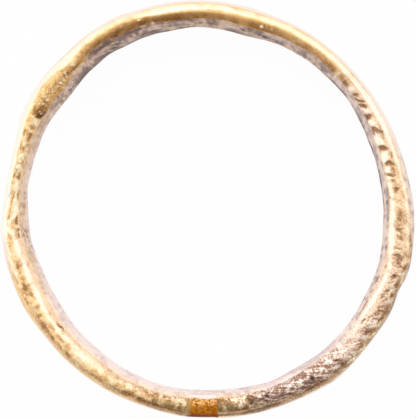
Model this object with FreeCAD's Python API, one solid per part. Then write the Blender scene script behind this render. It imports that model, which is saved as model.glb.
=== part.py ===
import FreeCAD, Part
import math
import os

# A plain old finger ring: a copper-alloy bar, hammered to a rounded section,
# bent round a finger and closed with one brazed joint.
# Millimetres. The finger hole runs along +Z, the back edge rests on z = 0, and
# the origin is on the axis of the hole. Angles are in degrees from +X, and the
# joint is near -Y.

# Finger hole
bore_radius = 9.39            # each rounded end of the slightly oval hole
bore_oval = 0.34              # how much longer the hole is than it is wide
oval_direction = 115          # which way the hole is longer

# Hammered bar
bar_wall = 1.26               # mean thickness, across the finger
bar_width = 3.4               # mean width, along the finger
rest_wear = 0.05              # worn off the back edge, where the ring rests

# Brazed joint
joint_direction = 269.4
patch_width = 1.45            # filler that shows, along the bar
patch_depth = 0.15            # how deep the filler is let into the surface
seam_gap = 0.12               # filler between the two ends of the bar
scarf_lean = 36               # the ends are cut this far out of square

overrun = 1.0                 # how far each cutter passes what it cuts

# Thickness of the bar all round, as shares of its mean thickness, at even
# steps from +X towards +Y. The bar is thin at the upper right, nipped at the
# left and heaviest at the lower right.
wall_shares = [
    1.06, 0.93, 0.88, 0.83, 0.80, 0.79,
    0.82, 0.84, 0.91, 0.97, 1.01, 1.06,
    1.12, 1.03, 1.03, 1.01, 0.71, 0.64,
    0.82, 1.03, 1.07, 1.08, 0.99, 0.99,
    0.99, 0.99, 1.03, 1.06, 1.10, 1.13,
    1.21, 1.26, 1.18, 1.18, 1.17, 1.15,
]
# Where the hammer thinned the wall it spread the bar, by this share of it.
spread_share = 0.15

# Points that draw the section, as shares of the wall, out from the hole, and
# of the width, up from the back edge. The first stretch lies inside the hole
# and is cut away with it, which leaves the crisp inner edge.
inner_shares = [(-0.40, 0.50), (-0.40, 0.68), (-0.30, 0.85)]
crown_shares = [(0.05, 0.94), (0.42, 1.024), (0.78, 0.964)]
shoulder_shares = [(0.985, 0.82), (0.985, 0.66), (1.0075, 0.50)]


def section_shares():
    """The points of the whole section: the front half and its mirror image."""
    front = inner_shares + crown_shares + shoulder_shares
    back = [(out, 1 - up) for out, up in reversed(front[1:-1])]
    return front + back


def hole_reach(angle):
    """How far the finger hole reaches from the axis in one direction."""
    return bore_radius + bore_oval / 2 * abs(math.cos(angle - math.radians(oval_direction)))


def wall_share_at(direction):
    """The thickness share in any direction, between the even steps of its table."""
    place = direction % 360 / 360 * len(wall_shares)
    low = int(place)
    past = place - low
    return wall_shares[low] * (1 - past) + wall_shares[(low + 1) % len(wall_shares)] * past


def smooth_closed_solid(rows):
    """A solid ring on rows of points, smooth both round the ring and round the section."""
    points = [[FreeCAD.Vector(*point) for point in row] for row in rows]
    around, across = len(points), len(points[0])
    surface = Part.BSplineSurface()
    surface.buildFromPolesMultsKnots(
        points, [1] * (around + 1), [1] * (across + 1),
        list(range(around + 1)), list(range(across + 1)), True, True, 3, 3)
    solid = Part.Solid(Part.Shell([surface.toShape()]))
    if solid.Volume < 0:
        solid.reverse()
    return solid


def bar_ring(let_in):
    """The closed ring of bar before the hole is cut, set back by let_in but on its inner side."""
    step = 2 * math.pi / len(wall_shares)
    # A smooth ring runs inside its points, so they stand out by this ratio.
    stand_out = 3 / (2 + math.cos(step))
    rows = []
    for number, share in enumerate(wall_shares):
        angle = number * step
        wall = bar_wall * share - let_in
        width = bar_width * (1 + spread_share * (1 - share)) - 2 * let_in
        row = []
        for out, up in section_shares():
            radius = (hole_reach(angle) + wall * out) * stand_out
            height = let_in - rest_wear + width * up
            row.append((radius * math.cos(angle), radius * math.sin(angle), height))
        rows.append(row)
    return smooth_closed_solid(rows)


def finger_hole():
    """The cutter for the hole: two half rounds, a little apart, joined by flats."""
    reach = bore_oval / 2
    long_way = FreeCAD.Vector(math.cos(math.radians(oval_direction)),
                              math.sin(math.radians(oval_direction)), 0)
    side_way = FreeCAD.Vector(-long_way.y, long_way.x, 0)
    far_end = long_way * reach
    near_end = long_way * -reach
    side = side_way * bore_radius
    tip = long_way * bore_radius
    outline = Part.Wire([
        Part.Arc(far_end - side, far_end + tip, far_end + side).toShape(),
        Part.LineSegment(far_end + side, near_end + side).toShape(),
        Part.Arc(near_end + side, near_end - tip, near_end - side).toShape(),
        Part.LineSegment(near_end - side, far_end - side).toShape(),
    ])
    cutter = Part.Face(outline).extrude(FreeCAD.Vector(0, 0, bar_width + 2 * overrun))
    cutter.translate(FreeCAD.Vector(0, 0, -overrun))
    return cutter


def block_at_joint(along, across, lean):
    """A block across the joint, as long as given along the bar and leaning in plan."""
    block = Part.makeBox(across, along, bar_width + 2 * overrun)
    block.translate(FreeCAD.Vector(-across / 2, -along / 2, -overrun))
    block.rotate(FreeCAD.Vector(0, 0, 0), FreeCAD.Vector(0, 0, 1), joint_direction + lean)
    angle = math.radians(joint_direction)
    middle = hole_reach(angle) + bar_wall * wall_share_at(joint_direction) / 2
    block.translate(FreeCAD.Vector(middle * math.cos(angle), middle * math.sin(angle), 0))
    return block


def closed_ring():
    """Bar and filler together: the outer shape with its hole and its resting edge."""
    ring = bar_ring(0).cut(finger_hole())
    side = 2 * (bore_radius + bore_oval + 2 * bar_wall)
    below = Part.makeBox(side, side, overrun)
    below.translate(FreeCAD.Vector(-side / 2, -side / 2, -overrun))
    return ring.cut(below)


def joint_filler(ring):
    """The filler: a saddle let into the front, the outside and the back, and the seam under it."""
    across = bar_wall + 2 * overrun
    saddle = ring.common(block_at_joint(patch_width, across, 0)).cut(bar_ring(patch_depth))
    seam = ring.common(block_at_joint(seam_gap, across, scarf_lean))
    return saddle.fuse(seam)


def write(name, shape):
    """One sub-part to its own file."""
    solids = shape.Solids
    shape = solids[0] if len(solids) == 1 else shape
    shape.exportStep("parts/" + name + ".step")
    box = shape.BoundBox
    print(name, "solids", len(solids), "valid", shape.isValid(), "volume", round(shape.Volume, 3),
          "box", [round(value, 3) for value in
                  (box.XMin, box.YMin, box.ZMin, box.XMax, box.YMax, box.ZMax)])


os.makedirs("parts", exist_ok=True)
whole = closed_ring()
braze = joint_filler(whole)
write("hoop", whole.cut(braze))
write("joint_braze", braze)
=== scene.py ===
import math

import bpy
import numpy as np
from mathutils import Matrix, Vector
from mathutils.bvhtree import BVHTree


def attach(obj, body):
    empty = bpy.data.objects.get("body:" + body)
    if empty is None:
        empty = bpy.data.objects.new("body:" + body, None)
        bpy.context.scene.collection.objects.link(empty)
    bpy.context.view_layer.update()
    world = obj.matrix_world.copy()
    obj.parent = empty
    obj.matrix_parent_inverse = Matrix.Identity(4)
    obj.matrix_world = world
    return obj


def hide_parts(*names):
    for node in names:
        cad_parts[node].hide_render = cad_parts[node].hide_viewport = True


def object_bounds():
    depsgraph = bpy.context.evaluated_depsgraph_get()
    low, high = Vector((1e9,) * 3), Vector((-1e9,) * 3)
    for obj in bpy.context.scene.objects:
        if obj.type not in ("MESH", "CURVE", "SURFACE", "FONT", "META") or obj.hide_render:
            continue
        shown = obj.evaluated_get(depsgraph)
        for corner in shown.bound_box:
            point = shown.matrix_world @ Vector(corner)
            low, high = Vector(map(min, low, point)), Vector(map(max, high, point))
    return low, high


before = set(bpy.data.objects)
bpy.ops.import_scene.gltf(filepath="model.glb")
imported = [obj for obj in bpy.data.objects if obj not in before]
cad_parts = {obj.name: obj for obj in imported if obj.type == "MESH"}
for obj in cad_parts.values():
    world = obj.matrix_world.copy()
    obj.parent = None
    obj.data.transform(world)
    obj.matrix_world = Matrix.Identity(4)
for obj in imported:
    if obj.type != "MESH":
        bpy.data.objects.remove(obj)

# The looks of an old hammered finger ring, lying on white ground.
# Lengths are in millimetres until a mesh is made. Directions are in degrees
# round the finger hole, from +X towards +Y. A place is in millimetres across
# the bar, from the middle of its inner wall over the front and down the
# outside: the inner lip is at 1.5, the crest at 2.0 and the shoulder at 2.8.

MM = 0.001
cad_box = [list(corner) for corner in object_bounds()]
chance = np.random.default_rng(1207)

# Camera
camera_place = (2.41, -2.87, 79.4)
aim_point = (0.14, -0.1, 1.7)
film_width = 36.0             # the lens is given for a film this wide
lens_length = 128.95


def new_object(name, data):
    """An object with this data, in the scene."""
    made = bpy.data.objects.new(name, data)
    bpy.context.scene.collection.objects.link(made)
    return made


def set_camera():
    """The camera looks down on the ring from a hand's breadth, a little from the lower right."""
    place = Vector(camera_place) * MM
    back = (place - Vector(aim_point) * MM).normalized()
    right = Vector((0, 1, 0)).cross(back).normalized()
    data = bpy.data.cameras.new("camera")
    data.sensor_fit = "HORIZONTAL"
    data.sensor_width = film_width
    data.lens = lens_length
    data.clip_start = camera_place[2] * MM / 100
    data.clip_end = camera_place[2] * MM * 100
    camera = new_object("camera", data)
    turn = Matrix((right, back.cross(right), back)).transposed().to_4x4()
    camera.matrix_world = Matrix.Translation(place) @ turn
    bpy.context.scene.camera = camera


# Shader maths
bump_depth = 0.02             # how high the grain of a finish stands


class Value:
    """A shader socket that takes part in sums, each of which adds its Math node."""

    def __init__(self, finish, socket):
        self.finish = finish
        self.socket = socket

    def maths(self, operation, *inputs):
        """One Math node on these inputs."""
        return self.finish.node("ShaderNodeMath", {"operation": operation}, dict(enumerate(inputs)))

    def __add__(self, other):
        return self.maths("ADD", self, other)

    def __radd__(self, other):
        return self.maths("ADD", other, self)

    def __sub__(self, other):
        return self.maths("SUBTRACT", self, other)

    def __rsub__(self, other):
        return self.maths("SUBTRACT", other, self)

    def __mul__(self, other):
        return self.maths("MULTIPLY", self, other)

    def __rmul__(self, other):
        return self.maths("MULTIPLY", other, self)

    def held(self):
        """The value kept between 0 and 1."""
        return self.finish.node("ShaderNodeClamp", {}, {0: self})


class Finish:
    """The nodes of a material or of the world."""

    def __init__(self, owner):
        self.owner = owner
        owner.use_nodes = True
        self.tree = owner.node_tree
        self.tree.nodes.clear()

    def node(self, kind, settings=None, sockets=None, output=0):
        """One node: its settings first, then the values or links of its sockets."""
        made = self.tree.nodes.new(kind)
        for name, value in (settings or {}).items():
            setattr(made, name, value)
        for key, value in (sockets or {}).items():
            if isinstance(value, Value):
                self.tree.links.new(value.socket, made.inputs[key])
            else:
                made.inputs[key].default_value = value
        return Value(self, made.outputs[output]) if len(made.outputs) else None

    def mask(self, name):
        """A mask that the mesh carries."""
        return self.node("ShaderNodeAttribute", {"attribute_name": name}, output="Fac")

    def blend(self, share, first, second):
        """One colour passing to another."""
        return self.node("ShaderNodeMix", {"data_type": "RGBA"}, {0: share, 6: first, 7: second}, 2)

    def ramp(self, value, low, high):
        """0 below low and 1 above high, with a smooth passage."""
        return self.node("ShaderNodeMapRange", {"interpolation_type": "SMOOTHSTEP"},
                         {"Value": value, "From Min": low, "From Max": high})

    def grain(self, size, squash=(1, 1, 1), **sockets):
        """Noise with grains of a size in millimetres, longer where the squash is less than 1."""
        place = self.node("ShaderNodeTexCoord", output="Object")
        place = self.node("ShaderNodeVectorMath", {"operation": "MULTIPLY"}, {0: place, 1: squash})
        return self.node("ShaderNodeTexNoise", {},
                         {"Vector": place, "Scale": 1 / (size * MM), **sockets})

    def surface(self, height, strength, **sockets):
        """The material's own surface, with a fine grain raised from a height."""
        bump = self.node("ShaderNodeBump", {},
                         {"Strength": strength, "Distance": bump_depth * MM, "Height": height})
        metal = self.node("ShaderNodeBsdfPrincipled", {}, {"Normal": bump, **sockets})
        self.node("ShaderNodeOutputMaterial", {}, {"Surface": metal})


# Sizes read from the frame
row_count = 1380              # mesh rows round the ring
evening = 1.5                 # degrees over which the frame's facets are evened out
crest_share = 0.42            # where the bar is highest, out from the hole
box_margin = 0.001            # how far the relief stays inside the CAD's box

# Brazed joint
joint_direction = 269.4
patch_width = 1.45            # filler that shows, along the bar
patch_start = 1.44            # place of its inner edge
patch_depth = 0.15
patch_sunk = 1.2              # thickness of the filler as a share of that, so that no gap shows
seam_gap = 0.12               # filler between the two ends of the bar
scarf_lean = 36               # the ends are cut this far out of square
mm_per_degree = 0.177         # along the middle of the bar


def frame_surface():
    """Both CAD nodes as one surface for measuring."""
    corners, faces = [], []
    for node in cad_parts.values():
        start = len(corners)
        corners += [vertex.co / MM for vertex in node.data.vertices]
        faces += [[start + index for index in face.vertices] for face in node.data.polygons]
    return BVHTree.FromPolygons(corners, faces)


def smoothed(values, degrees):
    """Values round the ring, evened out over this many degrees each way."""
    # Three of these on each side take in all the weight that counts.
    reach = round(3 * degrees / 360 * len(values))
    steps = np.arange(-reach, reach + 1)
    weights = np.exp(-0.5 * (3 * steps / reach) ** 2)
    weights = weights / weights.sum()
    return sum(weight * np.roll(values, step) for weight, step in zip(weights, steps))


def measured_ring(directions):
    """Inner radius, outer radius and height of the frame's ring in each direction."""
    surface = frame_surface()
    top = cad_box[1][2] / MM
    far = 2 * cad_box[1][0] / MM
    inner, outer, height = [], [], []
    for angle in np.radians(directions):
        out = Vector((math.cos(angle), math.sin(angle), 0))
        middle = Vector((0, 0, top / 2))
        inner.append((surface.ray_cast(middle, out)[0] - middle).length)
        outer.append((surface.ray_cast(middle + out * far, -out)[0] - middle).length)
        crest = inner[-1] + (outer[-1] - inner[-1]) * crest_share
        above = out * crest + Vector((0, 0, 2 * top))
        height.append(surface.ray_cast(above, Vector((0, 0, -1)))[0].z)
    return [smoothed(np.array(values), evening) for values in (inner, outer, height)]


# Unevenness of the two outlines: direction, reach each way in degrees, and how
# far out the metal moves
inner_swells = [
    (8, 27, -0.16), (28, 12, -0.05), (78, 13, -0.12), (90, 10, 0.04), (107, 27, 0.14), (102, 5, -0.03),
    (123, 8, 0.07), (142, 13, -0.14), (150, 6, 0.04), (171, 13, 0.06), (212, 27, -0.17), (233, 12, -0.06),
    (255, 18, 0.08), (288, 14, 0.12), (315, 18, 0.12), (354, 9, -0.05), (0, 16, 0.05), (28, 9, 0.03),
    (54, 7, 0.04), (83, 7, 0.06), (125, 10, 0.02), (145, 6, 0.05), (157, 6, 0.02), (168, 6, -0.03),
    (250, 10, -0.04), (275, 12, 0.03), (300, 14, 0.06), (342, 14, 0.03),
]
outer_swells = [
    (30, 30, -0.02), (115, 5, 0.04), (154, 6, 0.03), (161, 6, -0.03), (177, 6, -0.04), (187, 5, 0.04),
    (193, 6, -0.02), (264, 5, 0.03), (276, 6, 0.03), (306, 6, 0.03), (336, 5, -0.06), (343, 6, 0.05),
    (166.5, 1.5, -0.03), (177, 1.5, -0.03), (358, 9, 0.035), (345, 10, 0.055), (329, 8, 0.05),
    (308, 15, 0.055), (285, 14, 0.03), (218, 10, -0.04), (204, 10, -0.02), (133, 8, -0.03), (105, 10, -0.02),
    (70, 10, -0.025), (168, 10, -0.02),
]
# What is worn off all round, inside and outside
inner_wear = 0.045
outer_wear = 0.02


def apart(directions, centre):
    """Degrees from a direction, the short way round."""
    return (directions - centre + 180) % 360 - 180


def bell(distance, reach):
    """1 in the middle, falling smoothly to 0 at the reach."""
    return 0.5 + 0.5 * np.cos(np.pi * np.clip(distance / reach, -1, 1))


def step(value, start, end):
    """0 before the start and 1 past the end, evenly between them. The end may be the lower one."""
    return np.clip((value - start) / (end - start), 0, 1)


def crisp(noise):
    """Noise with steep flanks: mostly hollows and ridges, with little between."""
    return np.clip(1.7 * noise, -1, 1)


def swell(directions, swells):
    """How far out a list of swells moves the metal in each direction."""
    return sum(rise * bell(apart(directions, centre), reach) for centre, reach, rise in swells)


# The section, as shares of the wall, out from the hole, and of the width
inner_shares = [(-0.40, 0.50), (-0.40, 0.68), (-0.30, 0.85)]
crown_shares = [(0.05, 0.94), (0.42, 1.024), (0.78, 0.964)]
shoulder_shares = [(0.985, 0.82), (0.985, 0.66), (1.0075, 0.50)]
mean_wall = 1.26
mean_width = 3.4
section_points = 4000         # steps along the section by which its places are measured

# Mesh columns: where each stretch of the section ends, and how many it takes
stretches = [(1.42, 10), (2.9, 34), (6.8, 19), (8.22, 9)]


def closed_spline(points, count):
    """A smooth closed curve steered by points."""
    points = np.array(points)
    place = np.arange(count) * len(points) / count
    low = place.astype(int)
    t = (place - low)[:, None]
    near = [points[(low + shift) % len(points)] for shift in (-1, 0, 1, 2)]
    return sum(weight * point for weight, point in zip(spline_weights(t), near))


def spline_weights(t):
    """How much each of four points in a row counts, t of the way between the middle two."""
    return [(1 - t) ** 3 / 6, (3 * t ** 3 - 6 * t ** 2 + 4) / 6,
            (3 * (t - t ** 3 + t ** 2) + 1) / 6, t ** 3 / 6]


def section():
    """The section from the middle of the inner wall up and round: out, up and place of each point."""
    front = inner_shares + crown_shares + shoulder_shares
    back = [(out, 1 - up) for out, up in reversed(front[1:-1])]
    curve = closed_spline(front + back, section_points)
    curve[:, 0] = np.maximum(curve[:, 0], 0)
    curve = np.concatenate([curve, curve[:1]])
    steps = np.linalg.norm(np.diff(curve, axis=0) * (mean_wall, mean_width), axis=1)
    length = np.concatenate([[0], np.cumsum(steps)])
    girth = length[-1]
    places, start = [], 0
    for end, count in stretches:
        end *= girth / stretches[-1][0]
        places += list(np.linspace(start, end, count, endpoint=False))
        start = end
    return (np.interp(places, length, curve[:, 0]), np.interp(places, length, curve[:, 1]),
            np.array(places), girth)


def plain_ring():
    """The ring before its relief, from one side of the seam round to the other.

    Gives its points row by row, the rows' directions, the columns' places and the girth.
    """
    lean = math.tan(math.radians(scarf_lean))
    half_gap = seam_gap / 2 / math.cos(math.radians(scarf_lean)) / mm_per_degree
    half_patch = patch_width / 2 / mm_per_degree
    past = np.linspace(half_gap, 360 - half_gap, row_count)
    directions = joint_direction + past
    inner, outer, height = measured_ring(directions)
    inner = inner + inner_wear + swell(directions, inner_swells)
    outer = outer - outer_wear + swell(directions, outer_swells)
    out, up, places, girth = section()
    radius = inner[:, None] + (outer - inner)[:, None] * out[None, :]
    rise = height[:, None] * up[None, :]
    # The rows near the seam lean with it.
    near = np.clip(1 - np.minimum(past, 360 - past) / half_patch, 0, 1)[:, None]
    middle = (inner + outer)[:, None] / 2
    angle = np.radians(directions)[:, None] + near * lean * (radius - middle) / radius
    points = np.stack([radius * np.cos(angle), radius * np.sin(angle), rise], -1)
    return points, directions, places, girth


# Relief
noise_gain = 1.8              # brings smooth noise out to nearly -1 and 1


class Skin:
    """The bar's surface as a grid of directions and places, on which relief and colour are worked."""

    def __init__(self):
        self.points, directions, places, self.girth = plain_ring()
        self.directions = directions[:, None]
        # The back half counts down from the inner wall, so that it wears like the front.
        self.places = places[None, :]
        self.front = np.where(self.places > self.girth / 2, self.girth - self.places, self.places)
        # A place counted both ways from the middle of the inner wall, negative on the back
        self.signed = (self.places + self.girth / 2) % self.girth - self.girth / 2
        self.relief = np.zeros(self.points.shape[:2])
        # How far fine noise shifts the edges of marks, and the edges between colours
        self.sway = self.drift = self.wander = 0
        # The pocket for the braze: all but the inner wall, for some rows each way from the seam
        from_joint = np.abs(apart(self.directions, joint_direction)) * mm_per_degree
        self.pocket = (from_joint < patch_width / 2) & (self.front > patch_start)
        self.pocket_rows = self.pocket.any(1).sum() // 2

    def span(self, start, end, ease=4):
        """1 between two directions, counter-clockwise, with eased ends."""
        middle = start + (end - start) % 360 / 2
        half = (end - start) % 360 / 2
        return np.clip((half + ease - np.abs(apart(self.directions, middle))) / ease, 0, 1)

    def band(self, low, high, ease=0.1, places=None):
        """1 between two places, with eased edges, the same on the front and the back."""
        places = self.front if places is None else places
        return step(places, low, low + ease) * step(places, high, high - ease)

    def along(self, stations):
        """What a list gives for each direction, passing evenly from one station to the next."""
        directions, *columns = zip(*stations)
        return [np.interp(self.directions, directions, column, period=360) for column in columns]

    def shade(self, table, ease):
        """A band of colour from a table of directions, places and shares, with ragged edges."""
        low, high, share = self.along(table)
        return share * self.band(low, high, ease, self.front + self.wander)

    def noise(self, size_round, size_across, lean=0):
        """Smooth noise from -1 to 1 with grains of two sizes, leaning clockwise as it goes out."""
        around = max(4, round(360 * mm_per_degree / size_round))
        across = max(4, round(self.girth / size_across))
        table = chance.uniform(-1, 1, (around, across))
        shift = -lean * (self.places - 2) / (360 * mm_per_degree)
        x = ((self.directions / 360 - shift) % 1) * around
        y = self.places / self.girth * across + 0 * x
        column, row = x.astype(int), y.astype(int)
        tx, ty = x - column, y - row
        wx, wy = spline_weights(tx), spline_weights(ty)
        value = 0
        for i in range(4):
            for j in range(4):
                value = value + wx[i] * wy[j] * table[(column + i - 1) % around, (row + j - 1) % across]
        return value * noise_gain

    def spot(self, direction, place, along, across, lean=0):
        """1 in the middle of a mark of two half sizes, falling to 0 at its ragged edge."""
        clockwise = -apart(self.directions, direction) * mm_per_degree + self.sway
        rise = (self.places - place + self.girth / 2) % self.girth - self.girth / 2 + self.drift
        past = clockwise - lean * rise
        # It is scooped, steep at the counter-clockwise end and shallow at the other,
        past = past * np.where(past < 0, 1.5, 0.8)
        # and a wedge, wider at its inner end.
        wedge = along * (1 - 0.45 * np.clip(rise / across, -1, 1))
        return np.minimum(1, 1.4 * bell(np.hypot(past / wedge, rise / across), 1.0))

    def spots(self, marks):
        """The sum of several marks."""
        total = np.zeros(self.points.shape[:2])
        for direction, place, along, across, share, *lean in marks:
            total += share * self.spot(direction, place, along, across, *lean)
        return total

    def dent(self, depth):
        """Presses the surface in by a depth, or raises it where the depth is negative."""
        self.relief = self.relief - depth

    def set_shape(self):
        """Puts the relief on the points, kept inside the CAD's box and off the ground."""
        outward = surface_normals(self.points)
        low, high = np.array(cad_box) / MM
        self.shape = np.clip(self.points + outward * self.relief[..., None],
                             low + box_margin, high - box_margin)
        self.outward = surface_normals(self.shape)


def surface_normals(points):
    """Unit normals of a ring of points, out of the metal."""
    around = np.roll(points, -1, 0) - np.roll(points, 1, 0)
    across = np.roll(points, -1, 1) - np.roll(points, 1, 1)
    normal = np.cross(across, around)
    return normal / np.linalg.norm(normal, axis=-1, keepdims=True)


# Where the grey of the inner wall ends: direction and place
lip_line = [
    (0, 1.5), (20, 1.46), (50, 1.46), (60, 1.45), (61.5, 1.25), (63.5, 1.12), (66, 1.3), (68, 1.42),
    (80, 1.5), (98, 1.47), (101, 1.5), (104, 1.58), (113, 1.62), (119, 1.66), (119.6, 1.73), (127, 1.72),
    (129.5, 1.55), (135, 1.6), (138, 1.45), (140, 1.35), (143, 1.48), (147, 1.4), (149, 1.1), (151, 1.1),
    (153, 1.2), (165, 1.18), (175, 1.25), (180, 1.4), (185, 1.56), (188, 1.5), (200, 1.5), (218, 1.58),
    (240, 1.57), (258, 1.62), (265, 1.66), (275, 1.63), (290, 1.54), (310, 1.5),
]
# Bands of colour: direction, the places that it runs between, and its share
# The inner shade is painted shade: brown on the inner slope of the crown along the top, which faces away from
# the light, with dark patches at the right
inner_shade = [
    (3, 1.5, 2.1, 0), (10, 1.5, 2.1, 0.15), (20, 1.46, 2.06, 0), (36, 1.42, 2, 0.35), (40, 1.35, 1.98, 0.3),
    (40.6, 1.35, 1.98, 0.9), (43.4, 1.38, 2, 0.85), (44, 1.45, 1.96, 0.3), (45.6, 1.45, 1.96, 0.3),
    (46.4, 1.42, 1.98, 0.95), (50, 1.42, 2, 0.95), (53, 1.42, 1.98, 0.9), (60, 1.4, 1.97, 0.95),
    (63.5, 1.05, 1.95, 0.9), (67, 1.3, 1.97, 0.9), (71, 1.4, 1.97, 1), (75, 1.42, 2, 0.95),
    (79, 1.45, 2, 0.45), (84, 1.45, 1.92, 0.75), (90, 1.42, 1.92, 0.85), (98, 1.42, 1.93, 1.1),
    (104, 1.5, 2.01, 1.1), (108, 1.52, 2.1, 1), (112, 1.55, 2.14, 0.9), (115, 1.58, 2.17, 1.1),
    (118, 1.58, 2.17, 1.15), (118.8, 1.6, 2.16, 0.95), (126, 1.65, 2.16, 0.95), (128.5, 1.5, 2.12, 0.6),
    (131, 1.5, 2.05, 0.55), (134, 1.5, 2.08, 0.55), (137, 1.4, 2.18, 0.5), (140, 1.3, 2.25, 0.5),
    (144, 1.4, 2.28, 0.5), (147, 1.3, 2.22, 0.6), (148.5, 1, 2.2, 1), (151.8, 1, 2.2, 1),
    (152.4, 1.3, 2.12, 0.25), (154.2, 1.3, 2.12, 0.2), (155, 1.3, 2.1, 0.6), (156.2, 1.3, 2.05, 0.05),
    (157.3, 1.3, 2.02, 0.4), (160, 1.25, 2.08, 0.5), (163, 1.3, 2.1, 0.35), (163.8, 1.3, 2.05, 0),
    (169.4, 1.3, 2.05, 0.05), (170.1, 1.3, 2.1, 0.4), (171.8, 1.3, 2.1, 0.4), (172.6, 1.3, 2.05, 0.05),
    (175, 1.3, 2.05, 0.1), (176.2, 1.4, 2.4, 0.5), (177, 1.4, 2, 0),
]
# The outer shade is painted shade: brown on the outer slope round the lower half, which faces away from the
# light
outer_shade = [
    (20, 2.6, 3.4, 0), (190, 2.2, 2.6, 0), (198, 2.15, 2.5, 0.05), (203, 2.15, 2.5, 0.15),
    (208, 2.2, 2.65, 0.2), (218, 2.25, 2.75, 0.5), (225, 2.25, 2.8, 0.56), (240, 2.25, 2.85, 0.42),
    (250, 2.2, 2.8, 0.55), (256, 2.3, 2.88, 0.9), (265, 2.44, 2.94, 1.9), (275, 2.5, 2.84, 2.4),
    (285, 2.46, 2.92, 2.5), (295, 2.42, 2.9, 1.9), (305, 2.38, 2.88, 1.2), (312, 2.4, 2.95, 1),
    (320, 2.4, 3.1, 0.75), (330, 2.4, 3.2, 0.95), (338, 2.35, 3.3, 1.05), (345, 2.5, 3.4, 0.68),
    (352, 2.55, 3.4, 0.42), (0, 2.52, 3.5, 0.25), (10, 2.5, 3.5, 0.28), (16, 2.5, 3.5, 0.2),
]
bottom_shade = [
    (318, 1.5, 2.4, 0.1), (310, 1.45, 2.4, 0.5), (303, 1.42, 2.4, 0.85), (290, 1.42, 2.45, 0.95),
    (283, 1.45, 2.45, 0.9), (277, 1.5, 2.5, 0.45), (264, 1.5, 2.5, 0.5), (258, 1.52, 2.3, 0.5),
    (250, 1.55, 2.3, 0.4), (242, 1.58, 2.3, 0.22), (236, 1.6, 2.3, 0),
]
left_edge = [
    (183, 2.3, 2.6, 0), (181, 2.3, 2.55, 0.4), (177, 2.35, 2.6, 0.5), (172, 2.3, 2.55, 0.55),
    (164, 2.3, 2.5, 0.65), (156, 2.4, 2.6, 0.3), (150, 2.5, 2.7, 0.1), (146, 2.5, 2.7, 0),
]
right_shade = [
    (16, 1.9, 2.1, 0), (10, 1.85, 2.15, 0.25), (0, 1.8, 2.25, 0.12), (350, 1.85, 2.3, 0.12),
    (344, 1.95, 2.35, 0.25), (330, 2, 2.35, 0.45), (322, 1.9, 2.35, 0.3), (315, 1.9, 2.3, 0),
]
# Painted highlight: the outer slope of the crown painted pale where it faces the light
outer_highlight = [
    (206, 2.3, 2.6, 0), (200, 2.35, 2.6, 0.2), (196, 2.35, 2.7, 0.5), (190, 2.3, 2.95, 0.9),
    (186, 2.2, 3.05, 1), (183, 2.28, 3.05, 1), (178, 2.05, 2.85, 1), (170, 2.1, 2.85, 1), (155, 2.14, 2.9, 1),
    (150, 2.18, 2.95, 1), (143, 2.32, 2.95, 1), (140, 2.27, 2.9, 0.95), (134, 2.06, 2.72, 0.9),
    (128, 2.14, 2.65, 0.85), (118, 2.18, 2.6, 0.8), (110, 2.12, 2.56, 0.75), (104, 2, 2.5, 0.75),
    (98, 1.95, 2.5, 0.8), (90, 1.98, 2.48, 0.8), (80, 2.05, 2.46, 0.8), (70, 1.99, 2.44, 0.75),
    (60, 1.98, 2.44, 0.8), (50, 2, 2.46, 0.9), (40, 2, 2.48, 0.95), (30, 2.06, 2.48, 0.95),
    (20, 2.12, 2.46, 0.95), (10, 2.2, 2.46, 0.9), (3, 2.25, 2.52, 0.8), (356, 2.32, 2.52, 0.65),
    (350, 2.4, 2.54, 0.5), (344, 2.4, 2.5, 0.1), (340, 2.4, 2.5, 0),
]
# Painted highlight: the inner slope of the crown painted pale where it faces the light, round the lower half
# and at both sides
inner_highlight = [
    (45, 1.5, 2, 0), (36, 1.5, 2, 0.12), (25, 1.5, 2, 0.82), (14, 1.52, 1.95, 0.9), (5, 1.5, 1.76, 0.6),
    (0, 1.5, 1.82, 0.8), (350, 1.5, 1.86, 1), (345, 1.54, 1.86, 1), (342, 1.68, 1.98, 1),
    (338, 1.65, 1.95, 1), (335, 1.58, 1.9, 1), (330, 1.55, 1.86, 1), (325, 1.52, 1.75, 0.85),
    (320, 1.55, 1.85, 0.5), (315, 1.55, 1.85, 0.4), (308, 1.5, 1.7, 0.1), (290, 1.5, 1.65, 0),
    (278, 1.6, 1.72, 0.2), (265, 1.6, 1.75, 0.1), (262, 1.66, 2.05, 0.05), (255, 1.68, 2.05, 0),
    (247, 1.68, 2.08, 0.12), (240, 1.68, 2.1, 0.2), (234, 1.64, 2.1, 0.6), (228, 1.64, 2.12, 0.8),
    (222, 1.76, 2.1, 0.85), (215, 1.8, 2.1, 0.85), (209, 1.7, 2.06, 0.95), (204, 1.62, 2.02, 1),
    (199, 1.62, 1.98, 1), (194, 1.65, 2, 1), (190, 1.72, 2.1, 1), (187, 1.85, 2.3, 1), (184, 1.95, 2.4, 0.7),
    (182.5, 1.48, 1.92, 1), (177.5, 1.48, 1.9, 1), (176, 1.55, 1.9, 0.5), (174, 1.5, 1.95, 0.9),
    (172.5, 1.6, 1.9, 0.4), (170, 1.6, 1.95, 0.25), (168, 1.5, 2.05, 0.8), (165, 1.5, 1.95, 0.8),
    (163.5, 1.52, 1.9, 0.3), (158, 1.6, 2, 0.15), (154, 1.4, 1.95, 0.2), (152.5, 1.4, 1.95, 0),
]
# How pink the metal is, and how rough: direction and share
pinkness = [
    (5, 0.35), (14, 0.45), (25, 0.6), (35, 0.6), (50, 0.15), (60, 0), (126, 0), (130, 0), (152, 0),
    (160, 0.1), (170, 0.2), (190, 0.15), (265, 0.1), (277, 0.3), (289, 1), (300, 1), (320, 0.8), (335, 0.65),
    (345, 0.55), (355, 0.45),
]
roughness = [
    (5, 0.5), (45, 0.3), (60, 0.2), (125, 0.2), (135, 0.5), (180, 0.4), (225, 0.4), (262, 0.6), (275, 0.9),
    (320, 0.9), (345, 0.7),
]
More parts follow.
